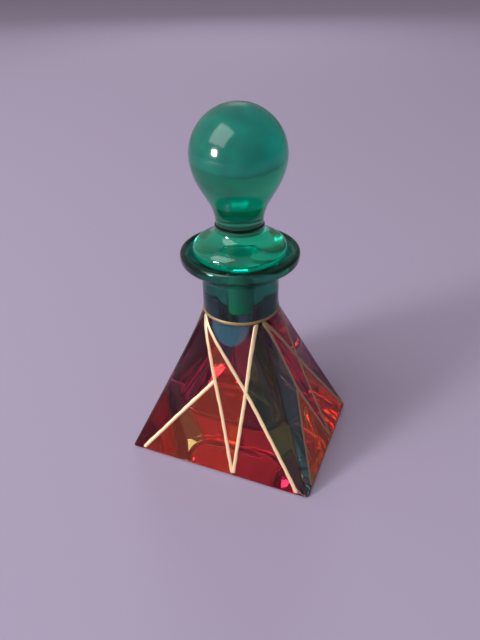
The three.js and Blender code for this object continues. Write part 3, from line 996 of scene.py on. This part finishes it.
def stain(name, thin, thick, milk=None, milky_share=0.0, painted_bore_image=None):
    """A transparent stain with its two tones, and where it has them its milky pigment and the
    colour of its painted image of the bore."""
    material, place = new_material(name)
    tint = brushed_tint(material, place, thin, thick)
    film = add_node(material, "ShaderNodeBsdfTransparent", {"Color": tint}).outputs["BSDF"]
    if milk:
        film = clouded_film(material, film, milk, milky_share)
    # A diffuse patch in an ellipse below the neck: painted light that stands for the green bore seen
    # through the glass.
    if painted_bore_image:
        film = clouded_film(material, film, painted_bore_image, painted_bore_image_mask(material, place))
    add_node(material, "ShaderNodeOutputMaterial", {"Surface": glossy_film(material, film)})
    return material


stains = {
    "crimson": stain("crimson_lacquer", "#f8708c", "#c83c64"),
    "red": stain("red_lacquer", "#ffb090", "#ff7850", "#ff4a28", 0.05),
    "orange": stain("orange_lacquer", "#ffc080", "#ff8848", "#ff6424", 0.14),
    # The plum stain carries the painted image of the bore below the neck.
    "plum": stain("plum_lacquer", "#d090b0", "#a06088", painted_bore_image="#336b7c"),
    "dark_green": stain("dark_green_lacquer", "#88c0a0", "#509070"),
    "slate": stain("slate_lacquer", "#88b8bc", "#609c9c"),
    "green": stain("emerald_lacquer", "#74c4b4", "#50aa96"),
}
print("stains:", ", ".join(stains))

# %% [markdown]
# ## A stain for each panel
#
# The wide front and its back share one set of tones. The deep right side has slate, orange and
# crimson. On the left side the tones near the front ridge are dark green and plum, because those are
# the colours that shine through to the front along that ridge.

# %% A stain for each panel
panel_names = ("left", "low", "narrow", "top", "base", "right")
wide_stains = ("crimson", "red", "red", "plum", "crimson", "dark_green")
stain_of = {
    "front": wide_stains,
    "right": ("slate", "orange", "crimson", "crimson", "red", "plum"),
    "back": wide_stains,
    "left": ("slate", "orange", "crimson", "crimson", "plum", "dark_green"),
}
for (face_name, panel), piece in films.items():
    tone = stain_of[face_name][panel_names.index(panel)]
    piece.data.materials.append(stains[tone])
neck_stain.data.materials.append(stains["green"])
print("panels that got a stain:", len(films))

# %% [markdown]
# ## Gold relief paint
#
# The strokes are a relief paint with bronze flakes in a matt binder, so they shine a little and
# never mirror: half metallic, with a roughness of 0.45. The flakes are too small to show, so the
# grain is drawn at 0.4 mm, where it just breaks up the gloss. On the deep sides and the neck band
# the same paint has darker tones, which are painted shade: the right side is turned from the light
# and the left one is made alike, and the band lies in the crease at the neck's foot.

# %% Gold relief paint
grain_size = 0.4


def gold_paint(name, dark, light):
    """Champagne gold paint between a dark and a light tone, with a fine grain and its relief."""
    material, place = new_material(name)
    grain, colour = two_tones(material, place, grain_size, 2.0, linear(dark), linear(light))
    bump = add_node(material, "ShaderNodeBump", {
        "Height": grain, "Strength": 0.3, "Distance": 0.05 * MM})
    paint = add_node(material, "ShaderNodeBsdfPrincipled", {
        "Base Color": colour, "Metallic": 0.5, "Roughness": 0.45, "Normal": bump.outputs["Normal"]})
    add_node(material, "ShaderNodeOutputMaterial", {"Surface": paint.outputs["BSDF"]})
    return material


full_gold = gold_paint("champagne_gold_relief_paint", "#c8a680", "#ecd0a8")
# Darker copies of the same paint: painted shade on the deep sides and in the crease at the neck band.
shaded_side_gold = gold_paint("thin_gold_relief_paint", "#9a7e60", "#b89874")
shaded_band_gold = gold_paint("gold_band_paint", "#8c7450", "#a08a60")
gold_of = (full_gold, shaded_side_gold, full_gold, shaded_side_gold, shaded_band_gold)
for piece, gold in zip((*gold_pieces, neck_band), gold_of):
    piece.data.materials.append(gold)
print("gold on", len(gold_of), "pieces")

# %% [markdown]
# ## Floor
#
# Clear glass shows mostly what is behind and under it, so the floor's colour is half of the
# bottle's look. A matt floor in a pale lavender grey keeps the tints true and takes a soft shadow. A
# thin layer of air is left under the base: glass that touches the floor would lose the mirror of
# its underside, which sends the colours back up through the front.

# %% Floor
floor_half = 3.0
air_under_base = 0.3 * MM
corners = ((-1, -1), (1, -1), (1, 1), (-1, 1))
floor_points = [(x * floor_half, y * floor_half, -air_under_base) for x, y in corners]
floor_mesh = bpy.data.meshes.new("floor")
floor_mesh.from_pydata(floor_points, [], [(0, 1, 2, 3)])
floor = add_object("floor", floor_mesh)
floor_material, _ = new_material("matt_floor_paint")
matt = add_node(floor_material, "ShaderNodeBsdfPrincipled", {
    "Base Color": linear("#a296ae"), "Roughness": 0.9, "Specular IOR Level": 0.1})
add_node(floor_material, "ShaderNodeOutputMaterial", {"Surface": matt.outputs["BSDF"]})
floor_mesh.materials.append(floor_material)
print("floor lies", round(air_under_base / MM, 2), "mm under the base")

# %% [markdown]
# ## Light
#
# A room lights glass from everywhere, but unevenly: that is what gives it dark edges. The world is
# brighter towards the upper left front, like a room with its window there, and dim on the other
# side. A large soft box is the window, a small one low on the left gives the bright points, and a
# weak one behind lights the floor that is seen through the front. The last one isn't mirrored, since
# its image would sit on top of the ball.

# %% Light
world = bpy.data.worlds.new("studio")
world.use_nodes = True
world.node_tree.nodes.clear()
bpy.context.scene.world = world
way = add_node(world, "ShaderNodeTexCoord").outputs["Generated"]
window_side = add_node(
    world, "ShaderNodeVectorMath", {0: way, 1: (-0.6, -0.5, 0.5)}, operation="DOT_PRODUCT")
strength = add_node(world, "ShaderNodeMapRange", {
    "Value": window_side.outputs["Value"], "From Min": -0.8, "From Max": 0.9,
    "To Min": 0.12, "To Max": 0.5})
room = add_node(world, "ShaderNodeBackground", {
    "Color": (1.0, 0.97, 0.98, 1.0), "Strength": strength.outputs["Result"]})
add_node(world, "ShaderNodeOutputWorld", {"Surface": room.outputs["Background"]})


def soft_box(name, place, aim, size, power):
    """A square soft box at a place, turned to what it lights. Sizes in metres, power in watts."""
    light = bpy.data.lights.new(name, "AREA")
    light.size = size
    light.energy = power
    lamp = add_object(name, light)
    lamp.location = place
    lamp.rotation_euler = (Vector(aim) - Vector(place)).to_track_quat("-Z", "Y").to_euler()
    return lamp


lamps = [
    soft_box("window", (-0.79, -1.06, 1.6), (0, 0, 0.05), 1.5, 24.0),
    soft_box("low_left", (-0.83, -1.2, 0.44), (0, 0, 0.08), 0.3, 22.0),
    soft_box("back", (-0.54, 1.27, 0.8), (0, 0, 0.05), 0.45, 4.0),
]
lamps[2].visible_glossy = False
print("lamps:", {lamp.name: f"{lamp.data.energy} W" for lamp in lamps})

# %% [markdown]
# ## Camera
#
# The camera stands where a fit of the bottle's corners, neck and ball puts it: 33 degrees above the
# horizon, 23 degrees to the right of the wide face, and only 20 cm away, which gives the strong
# perspective. Light crosses many walls here, so it may bounce more often than by default, and no
# bright path is cut off, since the sparkle in the colours is made of those.

# %% Camera
camera_place = Vector((63.3, -151.6, 154.3)) * MM
camera_aim = Vector((-0.4, -0.2, 48.2)) * MM
camera_roll = math.radians(-1.1)
camera_data = bpy.data.cameras.new("camera")
camera_data.lens = 31.9
camera_data.clip_start = 0.01
camera = add_object("camera", camera_data)
look = (camera_aim - camera_place).to_track_quat("-Z", "Y").to_matrix().to_4x4()
camera.matrix_world = Matrix.Translation(camera_place) @ look @ Matrix.Rotation(camera_roll, 4, "Z")
scene = bpy.context.scene
scene.camera = camera
scene.view_settings.view_transform = "Standard"
cycles = scene.cycles
cycles.max_bounces = 32
cycles.transmission_bounces = 32
cycles.glossy_bounces = 16
cycles.transparent_max_bounces = 64
cycles.sample_clamp_indirect = 0.0
print("camera to bottle:", round((camera_aim - camera_place).length / MM), "mm")
